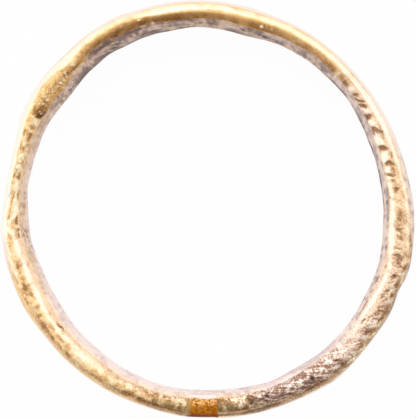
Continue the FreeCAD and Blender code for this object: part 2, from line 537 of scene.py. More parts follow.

# Marks: direction, place, half length round the ring, half height across it,
# share, and lean where it isn't upright. A lean of 1 moves a mark clockwise as
# much as it goes out. Hollows, which are brown, partly as painted shade, have a
# positive share, and worn spots, which are pale, partly as painted highlights, a
# negative one.
right_marks = [
    (47.8, 1.65, 0.4, 0.32, 0.4), (45, 1.72, 0.14, 0.36, -0.9, 0.3), (41.5, 1.6, 0.34, 0.34, 0.6),
    (38.8, 1.6, 0.24, 0.44, -1.2, 0.2), (36.7, 1.58, 0.22, 0.4, 1.1, 0.7), (35.5, 1.64, 0.1, 0.4, -0.9, 0.9),
    (34.4, 1.72, 0.22, 0.38, 1.2, 0.8), (32.6, 1.66, 0.24, 0.38, 1.4, 0.6), (33.6, 1.7, 0.06, 0.3, -0.5, 0.9),
    (30.8, 1.7, 0.14, 0.38, -1.1, 0.8), (28.9, 1.72, 0.24, 0.4, 1.3, 0.4), (29, 1.54, 0.32, 0.15, 1.1),
    (26.6, 1.68, 0.28, 0.26, -1.2, 0.5), (24.2, 1.76, 0.22, 0.46, 1.3, 0.7), (23.8, 1.56, 0.32, 0.14, 1),
    (21.3, 1.63, 0.34, 0.24, -1.2, 0.4), (18.1, 1.76, 0.3, 0.42, 1.4, 0.45), (15.3, 1.65, 0.42, 0.2, -1.2),
    (13, 1.84, 0.22, 0.38, 1.6, 0.3), (11.2, 2, 0.12, 0.18, 0.8, 0.5), (9.7, 1.8, 0.14, 0.34, 1.2, 0.4),
    (8, 1.86, 0.1, 0.22, 1, 0.3), (8.9, 1.74, 0.06, 0.26, -0.9, 0.3), (14.8, 2, 0.2, 0.12, 0.5, 0.5),
    (6.6, 1.66, 0.26, 0.22, -1.2), (5, 1.9, 0.22, 0.2, 1.6), (11, 1.68, 0.12, 0.18, -0.7, 0.3),
    (3, 1.6, 0.16, 0.08, 0.8), (0.8, 1.68, 0.3, 0.18, -1), (4, 1.7, 0.14, 0.16, -0.6, 0.2),
    (24, 2.02, 0.9, 0.08, 0.55), (16, 2.05, 0.6, 0.08, 0.55), (40.5, 1.98, 0.5, 0.08, 0.3),
    (8.4, 2.58, 0.24, 0.12, 0.7), (2.4, 1.76, 0.14, 0.22, 0.6, 0.2), (6.9, 2.7, 0.12, 0.12, 0.5),
    (1.8, 2.05, 0.26, 0.16, 0.6, 0.3), (-1.6, 2.06, 0.24, 0.2, 0.8, 0.8), (-3.8, 2, 0.16, 0.22, 0.6, 0.5),
    (-6.7, 2, 0.2, 0.28, 1.1, 0.1), (-9.2, 2.06, 0.18, 0.26, 1, 0.3), (-12.2, 2.02, 0.14, 0.28, 1, 0.2),
    (-14.1, 2.05, 0.14, 0.28, 1, 0.2), (-10.2, 2.47, 0.2, 0.09, -0.8), (-16.4, 2.22, 0.1, 0.38, 1, 0.6),
]
lower_right_marks = [
    (342.2, 1.61, 0.42, 0.06, 0.4), (340.3, 1.75, 0.2, 0.05, 0.4, -1), (340.2, 2.3, 0.14, 0.3, 0.4, -0.3),
    (339, 2.56, 0.5, 0.3, 0.7), (336.6, 2.62, 0.2, 0.15, 0.5), (334.8, 2.4, 0.14, 0.12, 0.4),
    (333.4, 2.08, 0.24, 0.14, 0.6, -0.5), (335.7, 2.35, 0.12, 0.07, -0.6, 0.5),
    (339.4, 2.24, 0.24, 0.18, 0.4, 0.3), (337.3, 2.46, 0.22, 0.18, 0.4), (332, 2.3, 0.12, 0.12, -0.4, -0.4),
    (330, 2.2, 0.1, 0.2, 0.4, -0.8), (327.2, 2.5, 0.22, 0.26, 1, -0.4), (326.4, 2.25, 0.15, 0.2, 0.6, -0.8),
    (325.6, 1.95, 0.3, 0.07, 0.7, -2), (324.4, 1.8, 0.26, 0.06, 0.8, -2), (328.4, 1.8, 0.2, 0.07, 0.4, -1),
    (324.6, 2.3, 0.1, 0.26, -0.6, -1), (321.8, 2.35, 0.2, 0.18, 0.5, -0.6), (319, 2.35, 0.2, 0.2, 0.6, -0.8),
    (317.8, 2.2, 0.08, 0.24, -0.5, -1), (316.3, 2.35, 0.14, 0.2, 0.5, -0.8),
    (314.2, 1.75, 0.18, 0.18, -0.7, -0.6), (337.8, 2.15, 0.08, 0.24, 0.6, -0.8),
    (335.2, 2.15, 0.09, 0.22, 0.6, -0.8), (339.9, 2.2, 0.08, 0.22, 0.5, -0.8),
    (329, 2.3, 0.08, 0.22, 0.5, -0.8), (322.8, 2.35, 0.08, 0.22, 0.5, -0.8),
    (314.8, 2.45, 0.1, 0.2, 0.6, -0.8), (311.2, 2.42, 0.36, 0.14, 0.9, -1.2),
    (313, 1.72, 0.12, 0.14, 0.6, -1), (311.8, 1.62, 0.1, 0.14, 0.6, -0.5),
    (310.6, 1.98, 0.16, 0.08, 0.6, -1.2), (305.6, 2.15, 0.16, 0.1, 0.6, -0.6), (302.3, 2.1, 0.14, 0.16, 0.9),
    (300.2, 2.15, 0.12, 0.12, 0.5), (296, 2.15, 0.2, 0.12, 0.5, -0.6), (293.8, 2.32, 0.25, 0.1, 0.7, -1),
    (290.8, 2.25, 0.2, 0.1, 0.6, -0.5), (288.4, 1.96, 0.22, 0.12, 0.5, -0.4),
    (286.4, 2.06, 0.2, 0.12, 0.5, -0.4), (287.4, 2.22, 0.2, 0.08, 0.7, -0.2), (283.8, 2.12, 0.2, 0.08, 0.7),
    (282.5, 1.9, 0.16, 0.1, 0.5), (280, 1.92, 0.14, 0.12, 0.5), (305.2, 1.78, 0.2, 0.08, 0.5, -0.6),
    (298.2, 1.8, 0.16, 0.08, 0.5), (296.6, 1.7, 0.16, 0.08, 0.4), (293, 1.82, 0.2, 0.07, 0.5, -0.5),
    (291, 1.87, 0.2, 0.07, 0.5),
]
lower_left_marks = [
    (259.4, 1.78, 0.3, 0.12, 0.4), (258.2, 2.22, 0.34, 0.13, -0.7, -0.6), (260, 2.05, 0.4, 0.05, 0.4),
    (255.5, 1.92, 0.35, 0.05, 0.5, -1.6), (252, 2.45, 0.3, 0.18, 0.4), (247.5, 2.5, 0.4, 0.15, 0.3),
    (249.8, 1.64, 0.26, 0.06, 0.5), (236.2, 1.6, 0.3, 0.06, 0.6), (240.5, 1.6, 0.2, 0.06, 0.4),
    (236.4, 2.5, 0.14, 0.12, 0.4), (233.8, 2.3, 0.3, 0.16, 0.3), (239.6, 2.6, 0.08, 0.14, -0.6),
    (242.8, 2.45, 0.12, 0.12, 0.3), (220.9, 1.68, 0.36, 0.1, 1.3), (219.5, 1.73, 0.32, 0.1, 1.5),
    (214.2, 1.58, 0.2, 0.06, 0.6), (212.5, 1.52, 0.2, 0.06, 0.6), (215, 1.78, 0.4, 0.06, 0.35, -2),
    (208, 1.52, 0.3, 0.06, 0.4), (224, 2.5, 0.3, 0.15, 0.3), (221, 2.45, 0.2, 0.15, 0.3),
    (225.5, 2.3, 0.08, 0.12, -0.6), (217, 2.45, 0.25, 0.15, 0.3), (212, 2.25, 0.3, 0.07, 0.6),
    (206.9, 2.16, 0.32, 0.11, 0.7), (204.4, 2.28, 0.34, 0.16, 1.1), (206.2, 2.4, 0.12, 0.13, -0.9),
    (200.3, 2.18, 0.16, 0.12, 0.6), (197.9, 2.16, 0.14, 0.16, 0.7), (199.9, 2.42, 0.24, 0.13, -0.9),
    (202.2, 2.52, 0.22, 0.12, 0.6), (208.6, 2.46, 0.26, 0.14, 0.5), (195.6, 2.38, 0.22, 0.12, -0.6),
    (223, 2.28, 0.1, 0.09, -0.7), (217, 2.26, 0.09, 0.1, -0.6), (214.6, 2.32, 0.08, 0.1, -0.7),
    (224.5, 2.45, 0.3, 0.12, 0.3), (221.4, 2.5, 0.22, 0.14, 0.3), (218.6, 2.48, 0.2, 0.14, 0.3),
    (196.5, 2.12, 0.4, 0.07, 0.3), (193.5, 2.4, 0.32, 0.16, -0.7), (190.6, 2.35, 0.09, 0.2, 0.5, 0.2),
    (193.5, 2.64, 0.3, 0.07, 0.35), (189, 1.61, 0.28, 0.07, 1.1), (187.3, 1.62, 0.12, 0.17, 1.2),
    (186.9, 1.78, 0.09, 0.11, 0.5),
]
left_marks = [
    (184.4, 1.62, 0.4, 0.14, 1.2), (184.6, 2.24, 0.4, 0.07, 0.9, -0.3), (182.8, 2.1, 0.34, 0.07, 0.9, -0.9),
    (180.5, 1.98, 0.5, 0.06, 0.9, -0.2), (178, 1.95, 0.34, 0.06, 0.9, 0.3),
    (176.4, 2.22, 0.12, 0.26, 0.9, -0.4), (181, 1.72, 0.3, 0.2, -1.2), (178.4, 1.72, 0.26, 0.18, -1.1),
    (175.2, 1.7, 0.1, 0.2, 0.5), (173.6, 1.74, 0.24, 0.2, -1.2), (168, 1.82, 0.16, 0.34, -1.2),
    (166.4, 1.84, 0.16, 0.14, -0.7), (166.3, 1.58, 0.16, 0.16, 0.6, 0.3), (164.6, 1.74, 0.18, 0.22, -1.4),
    (176.2, 1.5, 0.34, 0.1, 0.9), (171, 2.02, 0.32, 0.12, 0.7), (171, 1.58, 0.16, 0.22, 0.7, 0.2),
    (162.6, 1.78, 0.24, 0.34, 0.5), (161, 1.85, 0.16, 0.2, -0.5, 0.4), (159.3, 1.58, 0.42, 0.3, 0.45),
    (162.4, 1.2, 0.14, 0.14, 0.5), (161.6, 2.06, 0.36, 0.06, 0.7), (158.8, 2.04, 0.34, 0.06, 0.7),
    (156.6, 1.66, 0.13, 0.28, -0.9), (155.2, 1.65, 0.17, 0.28, 0.5), (153.5, 1.62, 0.24, 0.32, -0.8, 0.3),
    (154.2, 2.1, 0.34, 0.06, 0.6), (151, 1.8, 0.42, 0.36, 0.9, -0.4), (151.6, 1.86, 0.06, 0.08, -1.4),
    (152.5, 1.66, 0.06, 0.1, -1.2), (150, 1.76, 0.06, 0.06, -1.4), (150.4, 1.36, 0.3, 0.44, 1.1, -0.4),
    (148.8, 1.6, 0.4, 0.4, 0.5), (150.3, 2.1, 0.34, 0.08, 0.7), (147, 1.9, 0.16, 0.26, 0.4, 0.3),
    (145.2, 1.98, 0.14, 0.2, -0.5, 0.4), (143.8, 2.14, 0.14, 0.1, 0.5, 0.5),
    (142.4, 1.9, 0.05, 0.22, -0.7, 0.9), (141.6, 1.92, 0.05, 0.2, 0.5, 0.9),
    (140.4, 1.95, 0.07, 0.24, 0.6, 0.9), (139.6, 1.9, 0.05, 0.24, -0.7, 1), (137.4, 1.85, 0.06, 0.26, 0.6, 1),
    (136.6, 1.8, 0.05, 0.24, -0.6, 1), (134, 1.68, 0.5, 0.08, 0.6), (132.6, 1.88, 0.26, 0.13, -0.6),
    (117.4, 1.68, 0.18, 0.09, 0.6), (116, 1.66, 0.5, 0.04, -0.4), (106, 1.6, 0.6, 0.04, -0.4),
    (109.3, 2.02, 0.1, 0.06, -0.6), (57, 1.62, 0.12, 0.09, 0.5),
]
# Spots of grime, and bright points that are raised and get painted glints, in the same terms
dirt_spots = [
    (151.7, 1.7, 0.3, 0.26, 0.9, -0.3), (150.7, 1.4, 0.26, 0.44, 0.9, -0.5), (78.3, 0.55, 0.24, 0.7, 1, -0.1),
    (72.8, 0.1, 0.2, 0.7, 1, -0.1), (71, -0.3, 0.26, 0.9, 1.2, -0.1), (117.6, 1.66, 0.2, 0.12, 0.6),
    (288.6, 1.92, 0.16, 0.12, 0.5, -0.3), (286.8, 2.06, 0.16, 0.11, 0.5, -0.2),
    (287.6, 2.24, 0.12, 0.07, 0.5), (1.8, 0.5, 0.32, 0.9, 1.2), (139, -0.1, 0.2, 0.6, 0.8),
    (119.8, -0.4, 0.2, 0.5, 0.6), (302.4, 2.1, 0.16, 0.16, 0.5), (45, -0.7, 0.22, 0.5, 0.5),
    (175.6, 1.2, 0.24, 0.24, 0.5), (190.6, 0.7, 0.24, 0.36, 0.5), (188.6, 0.9, 0.2, 0.3, 0.6),
    (203, 0.8, 0.26, 0.34, 0.5), (167.2, 1.15, 0.14, 0.24, 0.5), (164.8, 1.15, 0.14, 0.24, 0.5),
    (137.5, -0.3, 0.18, 0.4, 0.6), (125.5, 0.9, 0.26, 0.4, 0.3), (130.8, 0.9, 0.24, 0.4, 0.3),
    (117, 1.2, 0.24, 0.3, 0.3), (110.5, 1.1, 0.26, 0.4, 0.3), (32.4, 0.6, 0.2, 0.5, 0.5),
    (27.6, 0.4, 0.2, 0.4, 0.4), (350, 0.6, 0.22, 0.5, 0.5), (347.4, 0.9, 0.18, 0.4, 0.5),
    (337.2, 1.05, 0.2, 0.3, 0.6, -0.3), (329.2, 0.95, 0.16, 0.34, 0.45, -0.3),
    (320.6, 1.25, 0.16, 0.2, 0.4, -0.3), (310.6, 1.3, 0.28, 0.14, 0.5, -0.3), (298.4, 1.2, 0.2, 0.18, 0.35),
    (206.6, 1.4, 0.14, 0.08, 0.6), (204, 1.2, 0.08, 0.12, 0.5), (213.4, 1.42, 0.2, 0.06, 0.6),
    (216.4, 1.15, 0.1, 0.14, 0.5), (218.6, 1.05, 0.14, 0.2, 0.5), (220.6, 1.1, 0.12, 0.24, 0.6),
    (211.4, 1.15, 0.08, 0.16, 0.6), (209.2, 1.25, 0.07, 0.12, 0.5), (198.8, 1.25, 0.12, 0.14, 0.5),
    (201.4, 1.15, 0.07, 0.14, 0.5), (192.6, 1.15, 0.12, 0.16, 0.6), (187.8, 1.25, 0.1, 0.14, 0.7),
    (186.4, 0.9, 0.09, 0.4, 0.9, 0.2), (187.8, 0.2, 0.09, 0.6, 0.9, 0.2), (189.2, -0.3, 0.08, 0.6, 0.8, 0.2),
    (190.6, -0.6, 0.08, 0.5, 0.7), (192.2, -0.8, 0.09, 0.4, 0.5),
]
glint_spots = [
    (72.6, 1.72, 0.14, 0.1, 1), (70.6, 1.72, 0.07, 0.09, 0.4), (69, 1.76, 0.09, 0.09, 0.5),
    (109.3, 2.02, 0.09, 0.07, 0.9), (105.8, 1.62, 0.12, 0.09, 0.8), (150.2, 1.56, 0.1, 0.1, 1),
    (142.4, -0.2, 0.12, 0.4, 1), (147.8, 1.84, 0.08, 0.08, 0.9), (145.7, 1.74, 0.08, 0.08, 0.9),
    (139.4, 1.74, 0.08, 0.08, 0.9), (136.5, 1.92, 0.08, 0.08, 0.8), (149.8, 1.72, 0.07, 0.07, 0.9),
]
# How pale the inner wall is: direction and what is added to its streaks
wall_paleness = [
    (0, 0), (25, 0.05), (40, 0.18), (60, -0.1), (80, 0.06), (100, 0.08), (120, -0.35), (135, -0.1),
    (143, -0.15), (150, 0.05), (160, 0.15), (180, 0.2), (205, 0), (218, 0.3), (258, 0.3), (270, 0), (330, 0),
    (345, -0.1),
]
# Raised creases that run from the lip down the inner wall, with their heights.
# The wall's streaks also give them a painted highlight.
wall_creases = [
    (139.4, 1, 0.08, 0.7, 0.04, -0.1), (136.6, 0.9, 0.07, 0.8, 0.03, 0.2),
    (128.3, 0.6, 0.09, 1.1, 0.06, -0.1), (124.6, 0.2, 0.09, 1, 0.05, -0.9),
    (122.4, 0.9, 0.08, 0.8, 0.05, -0.9), (120.4, 0.3, 0.08, 0.9, 0.05, -1.1),
    (118.2, 0.8, 0.09, 0.9, 0.05, -0.6), (126.4, 0.9, 0.09, 0.5, 0.04, 0.9),
    (112.6, 0.6, 0.08, 0.8, 0.04, -0.2), (107.8, 0.8, 0.08, 0.9, 0.04, -0.1), (85, 0.2, 0.12, 0.9, 0.03, 0.2),
    (44.8, 1.2, 0.12, 0.5, 0.03), (38.4, 0.9, 0.12, 0.8, 0.04, 0.2), (27, 0.8, 0.14, 0.8, 0.04, 0.2),
    (173, 0.2, 0.1, 0.9, 0.03, -0.1), (203.4, 0.4, 0.1, 0.8, 0.03, -0.3),
]
wrinkle_depth = 0.011
# How deep a hollow and how high a worn spot of share 1 is
hollow_depth = 0.03
rub_height = 0.015


def hammer(skin):
    """Hammering all over the crown and the outside."""
    metal = skin.band(1.45, 9, 0.15)
    calm = 1 - 0.75 * skin.span(44, 140, 10) * skin.band(-1, 4, 0.2)
    skin.dent(0.02 * skin.noise(1.6, 1.3) * metal * calm)
    skin.dent(0.008 * skin.noise(0.7, 0.8) * metal * calm * (1 + 1.5 * skin.band(3.1, 9, 0.6)))
    # The crest is pinched to an edge along the top, and runs further out at the upper left.
    crest = skin.along(inner_shade)[1]
    pinch = (0.035 + 0.25 * (crest - 1.97).clip(0, 1)) * skin.span(44, 154, 8)
    skin.dent(-pinch * np.clip(1 - np.abs(skin.front - crest) / 0.4, 0, 1))


def wrinkle(skin):
    """Fine relief of the front.

    Slanting wrinkles at the lower right, a tangle of small ridges at the bottom, upright
    nicks beside the joint, craters at the lower left and fine strokes elsewhere.
    """
    noise, span, band = skin.noise, skin.span, skin.band
    slant = crisp(1.2 * noise(0.22, 0.34, -0.9) + 0.45 * noise(0.13, 0.16, -0.3))
    tangle = crisp(noise(0.11, 0.18, -1.8) + 0.7 * noise(0.1, 0.11, 0.6) - 0.05)
    upright = crisp(noise(0.12, 0.34) + 0.6 * noise(0.11, 0.16) + 0.3).clip(-0.6, 1)
    crater = crisp(noise(0.2, 0.18) + 0.7 * noise(0.12, 0.12))
    backslant = crisp(noise(0.18, 0.4, 0.8) + 0.6 * noise(0.14, 0.25, 0.5))
    stroke = crisp(noise(0.12, 0.26, 0.3) + 0.7 * noise(0.11, 0.12))
    slant_start, = skin.along([(345, 2.0), (330, 2.0), (322, 1.7), (312, 1.5)])
    backslant_end, = skin.along([(42, 2.0), (20, 2.05), (8, 2.2), (0, 2.5), (343, 2.9)])
    skin.wrinkle = (0.6 * slant * span(312, 343, 6) * band(slant_start, 2.9, 0.15)
                    * (1 + 0.5 * band(2.2, 2.9, 0.2))
                    + 0.6 * tangle * span(285, 312, 5) * band(1.5, 2.6, 0.15)
                    + 0.9 * upright * span(257, 282, 5) * band(1.6, 2.5, 0.15)
                    + 0.6 * crater * span(188, 257, 6) * band(1.7, 2.8, 0.4)
                    + 0.4 * backslant * span(-17, 42, 4) * band(1.5, backslant_end, 0.15)
                    + 0.45 * stroke * span(153, 184, 4) * band(1.1, 2.2, 0.15))
    skin.dent(wrinkle_depth * skin.wrinkle)


def weather(skin):
    """Broad facets on the outside, with a few pits, and a wrinkled and creased inner wall."""
    skin.dent(0.025 * skin.noise(2.2, 1.6) * skin.band(3.1, 9, 0.6))
    skin.dent(0.1 * (skin.noise(0.5, 0.45) - 0.75).clip(0, 1) * skin.band(3.1, 9, 0.5))
    wall = skin.band(-1, 1.5, 0.12)
    skin.dent(0.04 * skin.noise(0.9, 0.8) * wall)
    skin.dent(0.016 * skin.noise(0.3, 0.4) * wall)
    skin.sway, skin.drift = (0.07 * skin.noise(0.2, 0.2) for _ in range(2))
    skin.dent(-skin.spots(wall_creases) - 0.05 * skin.spots(glint_spots))


def hatch(skin):
    """Fine strokes across the thick part at the upper left."""
    strokes = skin.noise(0.1, 0.22, -0.9) + 0.6 * skin.noise(0.1, 0.1)
    strokes = 0.5 * strokes.clip(0, 0.7) - 2 * (-strokes - 0.85).clip(0, 0.5)
    strokes = strokes * skin.span(129, 152, 4) * skin.band(1.4, 2.3, 0.15)
    skin.wrinkle = skin.wrinkle + strokes
    skin.dent(wrinkle_depth * strokes)


def mark(skin):
    """The single marks."""
    skin.marks = (0.92 * skin.spots(right_marks) + 1.4 * skin.spots(lower_right_marks)
                  + skin.spots(lower_left_marks) + skin.spots(left_marks))
    skin.dent(hollow_depth * skin.marks.clip(0, 2) + rub_height * skin.marks.clip(-2, 0))


# Colour masks
def wall_masks(skin):
    """The grey of the inner wall, which climbs over the lip here and there, its streaks, and painted light on
    it.
    """
    lip, = skin.along(lip_line)
    tarnish = step(skin.front + skin.wander - lip, 0.025, -0.025)
    paleness, = skin.along(wall_paleness)
    streak = 0.38 * skin.noise(0.5, 1.4, -0.2) + 0.3 * skin.noise(0.15, 0.9)
    streak = streak * (1 + 0.5 * skin.span(318, 50, 8) + 0.6 * skin.span(300, 352, 6))
    # Creases get a painted highlight, and the wall under the top lip is darker.
    streak = (0.52 + streak + 32 * skin.spots(wall_creases) + paleness
              - 0.45 * skin.span(97, 126, 4) * skin.band(1.0, 1.8, 0.3))
    # Painted light: the crust is painted paler round the lower half of the wall, which faces the light, and
    # in random patches
    wall_lit = (0.1 + 0.5 * skin.span(150, 40, 15) + 0.45 * skin.span(215, 305, 25)
              - 0.15 * skin.span(328, 352, 8) + 0.25 * skin.noise(0.3, 0.5))
    return {"tarnish": tarnish, "streak": streak, "wall_lit": wall_lit}


def metal_masks(skin, tarnish):
    """Where the metal is brown, pale, glinting, peach or grimy: partly wear and grime, partly painted light
    and shade.
    """
    noise, span, band, shade = skin.noise, skin.span, skin.band, skin.shade
    # Hollows are brown and ridges pale: partly grime and wear, partly painted shade and painted highlights.
    mottle = 0.2 * noise(0.15, 0.15) + 0.16 * noise(0.3, 0.3)
    mottle = mottle * (1 + 2 * span(338, 12, 6) * band(2.45, 3.3, 0.1))
    wear_and_shading = skin.marks + 0.75 * skin.wrinkle + mottle * band(1.3, 9, 0.2)
    # The painted shade along the inner side deepens from the crest to the lip.
    low, high, _ = skin.along(inner_shade)
    deep = step(skin.front + skin.wander, high, low)
    flat = 0.15 + 0.25 * span(95, 126, 6)
    deep = flat + (1 - flat) * deep
    outside = band(2.9, 9, 0.9)
    weathered = 0.22 + 0.7 * noise(1.3, 0.9) + 0.6 * noise(0.35, 0.3)
    weathered = outside * weathered.clip(0, 0.9)
    patchy = 1 + 0.5 * noise(0.35, 0.25)
    # Brown: weathering, grime in hollows and mottle, and painted shade in the inner and outer shade bands
    # and, partly, on the marks
    brown = (weathered + deep * shade(inner_shade, 0.07) + shade(bottom_shade, 0.12)
             + patchy * (shade(outer_shade, 0.1) + shade(right_shade, 0.15))
             + shade(left_edge, 0.08) + wear_and_shading.clip(0, 2))
    # Ridges get less painted highlight on the lower left of the outside, which faces away from the light.
    away_from_light = span(205, 268, 10) * band(2.15, 9, 0.15)
    # Painted highlights in the two highlight bands
    outer_lit = shade(outer_highlight, 0.1)
    inner_lit = shade(inner_highlight, 0.12)
    # Pale: the painted highlights, and ridges and worn spots, partly wear and partly painted highlight
    bright = (outer_lit + patchy * inner_lit - wear_and_shading.clip(0, 2)
              - wear_and_shading.clip(-2, 0) * (1 - 0.4 * away_from_light))
    bright = bright + outside * (0.5 * noise(1.1, 0.8) - weathered).clip(0, 1)
    bright = bright * (1 - tarnish)
    # Painted glints at the bright points, and painted near-white highlights in the highlight bands
    white_highlight = skin.spots(glint_spots) + (0.15 + 0.45 * span(125, 205, 10)) * outer_lit * (1 - tarnish)
    white_highlight = white_highlight + 0.5 * inner_lit * span(318, 12, 10) * (1 - wear_and_shading).clip(0, 1)
    # Painted reflection: the front shoulder is painted peach, least on the lower half, which faces away from
    # the light, and at the right.
    shoulder = 2.42 + 0.25 * span(130, 200, 10)
    shoulder_sheen = (band(shoulder, 9, 0.25) * band(-1, 3.2, 0.4) * (skin.signed > 0)
            * (1 - 0.85 * span(205, 350, 15)) * (1 - 0.4 * span(350, 18, 8)))
    pitted = span(270, 312, 6) * band(1.5, 2.5, 0.2) * skin.wrinkle.clip(0, 1)
    # Painted shadow along the back edge of the inner wall at the right
    back_edge_shadow = span(0, 48, 6) * step(skin.signed, -0.7, -1) * step(skin.signed, -1.6, -1.5)
    # Grime in spots, grime and painted shade in the pits, painted shade where the brown is deepest, and the
    # painted shadow at the back edge
    dirt_and_shadow = (skin.spots(dirt_spots) + 0.5 * pitted + 0.5 * (brown - 0.9).clip(0, 1.4)
            + 0.9 * back_edge_shadow * (0.6 + 0.8 * noise(0.5, 1.0)).clip(0, 1))
    return {"brown": brown, "bright": bright, "white_highlight": white_highlight, "shoulder_sheen": shoulder_sheen, "dirt_and_shadow": dirt_and_shadow}


def tint_masks(skin):
    """How rough, how pink and how olive the surface is."""
    outside = skin.band(3.1, 9, 0.8)
    rough, = skin.along(roughness)
    rough = rough + outside * (0.3 - rough)
    pink, = skin.along(pinkness)
    golden = skin.span(205, 345, 15)
    pink = (pink * (1 - 0.8 * golden * skin.band(2.4, 2.9, 0.1))
            + 0.7 * (1 - golden) * skin.band(2.4, 3.6, 0.2))
    pink = pink + 0.35 * skin.span(190, 262, 10) * skin.band(1.4, 2.05, 0.2)
    # The inner wall is tan at the left and pink elsewhere.
    upper = step(skin.signed, -0.7, -0.1)
    pink = pink + skin.band(-1, 1.5, 0.1) * (1 - skin.span(150, 196, 20) * upper - pink)
    pink = pink + outside * (0.2 - pink)
    olive = (0.9 * skin.span(272, 282, 5) + 0.8 * skin.span(257, 266, 3)) * skin.band(1.9, 2.5, 0.25)
    olive = olive * (0.8 + 0.5 * skin.wrinkle)
    return {"rough": rough, "pink": pink, "olive": olive}


def hoop_masks(skin):
    """Where each colour of the bar lies, as masks for its mesh."""
    skin.wander = 0.03 * skin.noise(0.5, 0.6) + 0.02 * skin.noise(0.16, 0.3)
    wall = wall_masks(skin)
    return {**wall, **metal_masks(skin, wall["tarnish"]), **tint_masks(skin)}


def patch_masks(skin):
    """Masks of the braze: its red outer edge, its pale inner edge and its ragged left end."""
    edge = skin.front + 0.05 * skin.noise(0.3, 0.3)
    fleck = skin.noise(0.14, 0.14)
    return {
        "red": step(edge, 2.52, 2.74) * step(edge, 3.6, 3).clip(0.2, 1),
        "light": step(edge, 2.1, 1.9),
        "lip": step(edge, 1.68, 1.62),
        "mottle": 0.55 + 0.25 * fleck + 0.5 * skin.spot(272.6, 2.3, 0.24, 0.3),
        "ragged": (skin.spot(264.9, 2.3, 0.36, 0.9) + 0.7 * skin.spot(265.0, 1.75, 0.2, 0.2)
                   + 0.4 * fleck),
    }


# Pieces
def add_mesh(name, points, faces, masks, material):
    """A piece of mesh with its masks and its material."""
    mesh = bpy.data.meshes.new(name)
    mesh.from_pydata((points * MM).tolist(), [], faces)
    mesh.polygons.foreach_set("use_smooth", [True] * len(mesh.polygons))
    for label, mask in masks.items():
        layer = mesh.attributes.new(label, "FLOAT", "POINT")
        layer.data.foreach_set("value", np.clip(mask, 0, 1).ravel())
    mesh.materials.append(material)
    return new_object(name, mesh)


def tube_faces(rows, columns, first=0):
    """Faces of a tube of rows, closed across and capped at both ends."""
    grid = first + np.arange(rows * columns).reshape(rows, columns)
    beside = np.roll(grid, -1, 1)
    faces = np.stack([grid[:-1], beside[:-1], beside[1:], grid[1:]], -1).reshape(-1, 4).tolist()
    return faces + [grid[0, ::-1].tolist(), grid[-1].tolist()]


def spread(masks, shape):
    """Masks as whole fields, one value for each point."""
    return {label: mask + np.zeros(shape) for label, mask in masks.items()}


def make_hoop(skin):
    """The bar, with its two ends at the seam and a shallow pocket for the braze."""
    rows, columns = skin.shape.shape[:2]
    points = skin.shape.copy()
    points[skin.pocket] -= patch_depth * skin.outward[skin.pocket]
    masks = spread(hoop_masks(skin), (rows, columns))
    return add_mesh("hammered_hoop", points.reshape(-1, 3), tube_faces(rows, columns),
                    masks, bronze_finish()), points


def make_braze(skin, hoop_points):
    """The filler: a saddle in the pocket, and the seam between the two ends of the bar."""
    columns = np.flatnonzero(skin.pocket[0])
    columns = np.concatenate([[columns[0] - 1], columns, [columns[-1] + 1]])
    reach = skin.pocket_rows + 1
    rows = np.arange(-reach, reach)
    outside = skin.shape[rows][:, columns]
    inside = outside - patch_sunk * patch_depth * skin.outward[rows][:, columns]
    # Each row of the saddle is a loop, out along the surface and back under it.
    loops = np.concatenate([outside, inside[:, ::-1]], 1)
    seam = hoop_points[[-1, 0]]
    faces = tube_faces(*loops.shape[:2]) + tube_faces(*seam.shape[:2], loops.shape[0] * loops.shape[1])
    masks = {}
    for label, mask in spread(patch_masks(skin), skin.shape.shape[:2]).items():
        saddle = mask[rows][:, columns]
        masks[label] = np.concatenate([np.concatenate([saddle, saddle[:, ::-1]], 1).ravel(),
                                       mask[[-1, 0]].ravel()])
    points = np.concatenate([loops.reshape(-1, 3), seam.reshape(-1, 3)])
    return add_mesh("braze_patch", points, faces, masks, braze_finish())


# Finishes
polished_gold = (0.98, 0.65, 0.29, 1)
rosy_gold = (0.93, 0.72, 0.6, 1)
# Browns of weathering and hollows, and of painted shade
brown_gold = (0.43, 0.213, 0.066, 1)
brown_rose = (0.37, 0.21, 0.145, 1)
# Pale colours of worn metal and of painted highlights
bright_gold = (1.0, 0.94, 0.66, 1)
bright_rose = (1.0, 0.94, 0.89, 1)
# Near-white of the painted glints and highlights
white_highlight_gold = (1.0, 0.97, 0.86, 1)
# Peach of the painted reflection on the front shoulder
sheen_peach = (1.0, 0.87, 0.76, 1)
grey_violet = (0.2, 0.125, 0.105, 1)
dry_tan = (0.8, 0.61, 0.49, 1)
# Colours of the crust painted paler where the wall faces the light
lit_violet = (0.78, 0.64, 0.62, 1)
lit_pink = (1.0, 0.86, 0.82, 1)
lit_tan = (1.0, 0.78, 0.53, 1)
dry_brown = (0.72, 0.46, 0.27, 1)
olive_gold = (0.42, 0.3, 0.13, 1)
# Colours of grime and of painted shade and shadow
dark_violet = (0.055, 0.04, 0.04, 1)
dark_brown = (0.15, 0.075, 0.03, 1)


